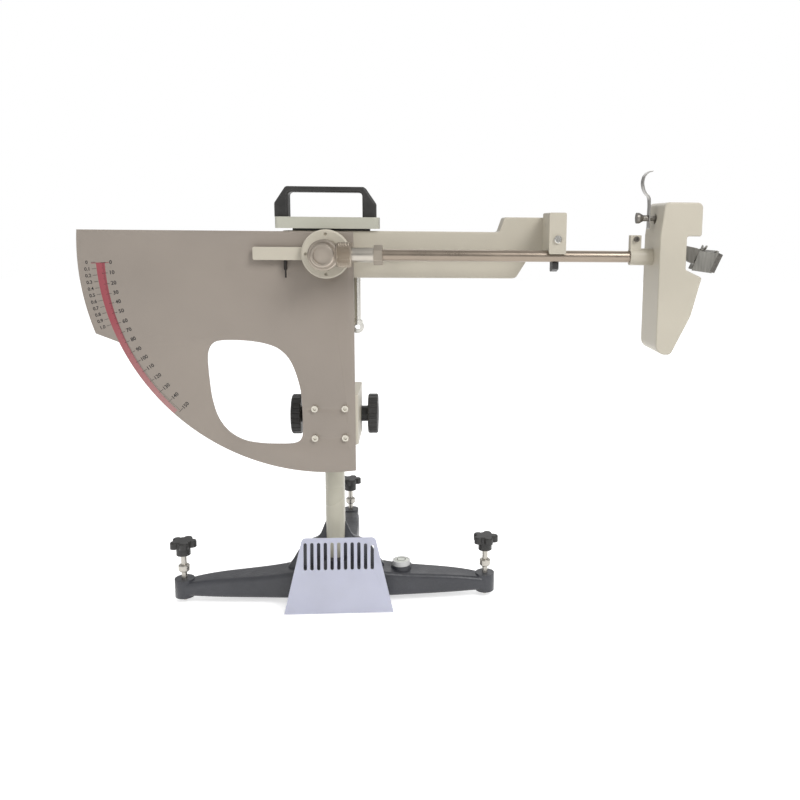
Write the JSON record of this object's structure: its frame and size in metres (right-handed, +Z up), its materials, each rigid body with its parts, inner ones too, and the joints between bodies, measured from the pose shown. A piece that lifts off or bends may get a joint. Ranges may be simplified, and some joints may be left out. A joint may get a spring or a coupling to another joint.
{
  "type": "pendulum skid resistance tester",
  "caption": "Bench and road instrument whose released pendulum drags a rubber slider over a surface, carrying a pointer over a scale; it stands on a levelled three-legged base",
  "frame": {"origin": "on the ground under the axis of the column", "axes": "+X towards the catch that holds the pendulum, +Y away from the operator who faces the scale, +Z up"},
  "size_m": [0.8308, 0.4525, 0.6195],
  "materials": {
    "base_casting": "hammered dark grey paint",
    "beige_paint": "satin beige paint",
    "dial_paint": "satin grey paint",
    "black_plastic": "moulded",
    "steel": "turned",
    "plated": "bright plated",
    "dark_steel": "blackened",
    "felt": "pressed felt",
    "glass": "clear",
    "rubber": "moulded",
    "clear_plastic": "smooth",
    "brass": "turned",
    "rod_metal": "drawn tube",
    "alloy_plate": "brushed"
  },
  "bodies": {
    "base": {"base_frame": "base_casting", "level_housing": "black_plastic", "level_glass": "glass", "column": "plated", "column_rack": "steel"},
    "foot_left": {"foot_tip_left": "plated"},
    "screw_left": {"levelling_screw_left": "steel", "levelling_knob_left": "black_plastic"},
    "foot_right": {"foot_tip_right": "plated"},
    "screw_right": {"levelling_screw_right": "steel", "levelling_knob_right": "black_plastic"},
    "foot_rear": {"foot_tip_rear": "plated"},
    "screw_rear": {"levelling_screw_rear": "steel", "levelling_knob_rear": "black_plastic"},
    "head": {"carriage": "beige_paint", "head_arm": "beige_paint", "top_beam": "beige_paint", "dial_plate": "dial_paint", "dial_screws": "dark_steel", "handle_plate": "alloy_plate", "carry_handle": "black_plastic", "handle_fixings": "steel", "catch_block": "beige_paint", "catch_fixings": "steel", "hanger_rod": "plated", "bearing_housing": "alloy_plate", "spindle_bearings": "steel", "felt_washers": "felt", "friction_ring": "beige_paint", "pointer_stop": "dark_steel"},
    "pinion": {"pinion_shaft": "steel", "lift_knob_left": "black_plastic", "lift_knob_right": "black_plastic"},
    "shoe": {"clamp_shoe": "brass"},
    "clamp": {"clamp_screw": "steel", "clamp_knob": "black_plastic"},
    "latch": {"release_latch": "black_plastic"},
    "button": {"release_button": "plated"},
    "pendulum": {"spindle": "steel", "knuckle": "alloy_plate", "knuckle_cap": "alloy_plate", "rod_collar": "steel", "rod_sleeve": "plated", "rod_lock_nut": "steel", "pendulum_rod": "rod_metal", "head_body": "beige_paint", "head_cover": "beige_paint", "pendulum_screws": "steel", "lever_pin": "steel", "head_clamp": "plated", "head_spring": "steel"},
    "pointer": {"pointer_arm": "beige_paint", "pointer_needle": "dark_steel"},
    "lever": {"slider_lever": "alloy_plate", "lifting_hook": "alloy_plate", "thumb_screw": "plated", "slider_clip": "plated"},
    "slider": {"slider_plate": "alloy_plate", "slider_rubber": "rubber"},
    "scraper": {"water_scraper": "clear_plastic"}
  },
  "joints": [
    {"name": "foot_travel_left", "type": "slide", "parent": "base", "child": "foot_left", "axis": [0, 0, 1], "range_m": [-0.003, 0.003]},
    {"name": "screw_turn_left", "type": "hinge", "parent": "foot_left", "child": "screw_left", "pos_m": [-0.22, 0, 0.06], "axis": [0, 0, 1], "range_deg": [-865, 865]},
    {"name": "foot_travel_right", "type": "slide", "parent": "base", "child": "foot_right", "axis": [0, 0, 1], "range_m": [-0.003, 0.003]},
    {"name": "screw_turn_right", "type": "hinge", "parent": "foot_right", "child": "screw_right", "pos_m": [0.22, 0, 0.06], "axis": [0, 0, 1], "range_deg": [-865, 865]},
    {"name": "foot_travel_rear", "type": "slide", "parent": "base", "child": "foot_rear", "axis": [0, 0, 1], "range_m": [-0.003, 0.003]},
    {"name": "screw_turn_rear", "type": "hinge", "parent": "foot_rear", "child": "screw_rear", "pos_m": [0, 0.296, 0.06], "axis": [0, 0, 1], "range_deg": [-865, 865]},
    {"name": "head_lift", "type": "slide", "parent": "base", "child": "head", "axis": [0, 0, 1], "range_m": [-0.015, 0.05]},
    {"name": "pinion_turn", "type": "hinge", "parent": "head", "child": "pinion", "pos_m": [0, 0.027, 0.272], "axis": [1, 0, 0], "range_deg": [-120, 360]},
    {"name": "shoe_travel", "type": "slide", "parent": "head", "child": "shoe", "axis": [0, 1, 0], "range_m": [0, 0.0019]},
    {"name": "clamp_turn", "type": "hinge", "parent": "shoe", "child": "clamp", "pos_m": [0, 0.04, 0.301], "axis": [0, 1, 0], "range_deg": [0, 548]},
    {"name": "latch_swing", "type": "hinge", "parent": "head", "child": "latch", "pos_m": [0.299, -0.078, 0.548], "axis": [1, 0, 0], "range_deg": [0, 10]},
    {"name": "button_push", "type": "slide", "parent": "head", "child": "button", "axis": [0, 1, 0], "range_m": [0, 0.00314], "stiffness_N_per_m": 200, "springref_m": -0.004},
    {"name": "pendulum_swing", "type": "hinge", "parent": "head", "child": "pendulum", "pos_m": [0, -0.1, 0.508], "axis": [0, 1, 0], "range_deg": [0, 180]},
    {"name": "pointer_turn", "type": "hinge", "parent": "head", "child": "pointer", "pos_m": [0, -0.066, 0.508], "axis": [0, 1, 0], "range_deg": [0, 180]},
    {"name": "slider_swing", "type": "hinge", "parent": "pendulum", "child": "lever", "pos_m": [0.451, -0.1, 0.42], "axis": [0, 1, 0], "range_deg": [-2.2, 0], "stiffness_Nm_per_rad": 10, "springref_deg": 2.86},
    {"name": "slider_rock", "type": "hinge", "parent": "lever", "child": "slider", "pos_m": [0.48953, -0.1, 0.50673], "axis": [0.4067, 0, 0.9135], "range_deg": [-2, 2]},
    {"name": "scraper_lift", "type": "slide", "parent": "base", "child": "scraper", "axis": [0, 0, 1], "range_m": [0, 0.1]}
  ],
  "couplings": [
    {"joint": "screw_turn_left", "follows": "foot_travel_left", "rad_per_m": 5026.5},
    {"joint": "screw_turn_right", "follows": "foot_travel_right", "rad_per_m": 5026.5},
    {"joint": "screw_turn_rear", "follows": "foot_travel_rear", "rad_per_m": 5026.5},
    {"joint": "pinion_turn", "follows": "head_lift", "rad_per_m": 125},
    {"joint": "clamp_turn", "follows": "shoe_travel", "rad_per_m": 5026.5},
    {"joint": "latch_swing", "follows": "button_push", "rad_per_m": 55.556}
  ]
}
